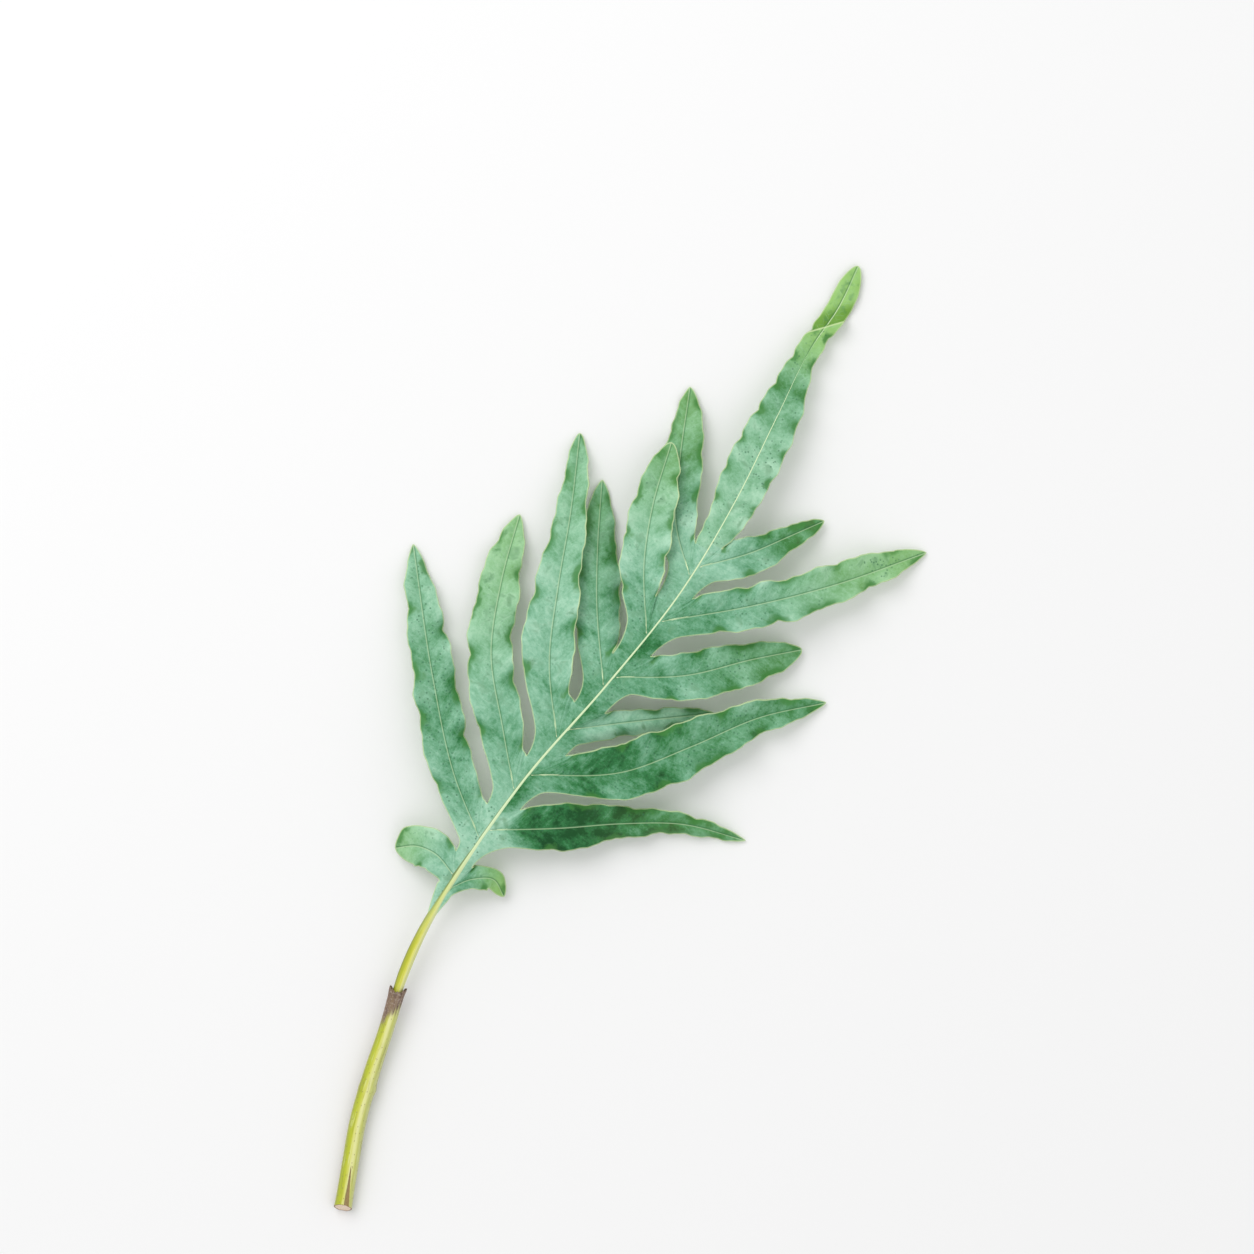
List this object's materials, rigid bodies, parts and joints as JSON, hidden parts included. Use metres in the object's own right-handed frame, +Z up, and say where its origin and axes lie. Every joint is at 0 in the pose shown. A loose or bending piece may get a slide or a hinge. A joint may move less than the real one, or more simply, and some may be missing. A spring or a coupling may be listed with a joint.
{
  "type": "fern frond",
  "caption": "Picked fern frond lying flat: a long, wavy, deeply lobed blue-green blade on a slim stalk that comes out of a thicker cut stem with a ragged collar.",
  "frame": {"origin": "on the surface the frond lies on, below the middle of its bounding box", "axes": "+Y along the frond from the cut end to the tip, +X to the right of the frond seen from above, +Z up"},
  "size_m": [0.1951, 0.4603, 0.0263],
  "materials": {
    "leaf": "matt waxy blue-green leaf with a pale margin line and darker green blotches",
    "stalk": "satin yellow-green plant stalk with a pale cream side line",
    "stem": "satin pale green stem, brown and ragged at the collar, cream at the cut"
  },
  "bodies": {
    "root": {"blade": "leaf", "stalk": "stalk", "lower_stem": "stem"}
  },
  "joints": []
}
